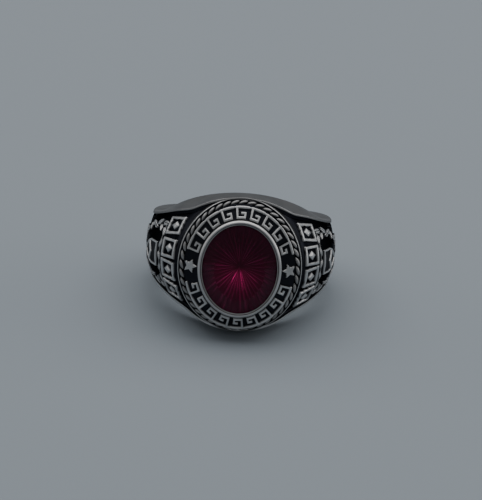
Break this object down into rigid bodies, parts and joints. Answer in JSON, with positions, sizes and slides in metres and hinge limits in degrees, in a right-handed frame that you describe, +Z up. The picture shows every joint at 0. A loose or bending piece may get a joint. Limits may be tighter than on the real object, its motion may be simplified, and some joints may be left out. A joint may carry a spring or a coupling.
{
  "type": "class ring",
  "caption": "Man's class ring of antiqued silver with an oval dark red stone, a rope border and raised ornament, lying on its side.",
  "frame": {"origin": "centre of the bounding box, on the surface that the ring lies on", "axes": "+Z up from the surface, the stone's face towards -Y and leaning up, +X across the ring's face"},
  "size_m": [0.0258, 0.0298, 0.0185],
  "materials": {
    "silver": "antiqued silver, polished on the rims",
    "stone": "clear polished"
  },
  "bodies": {
    "root": {"ring_body": "silver", "stone": "stone"}
  },
  "joints": []
}
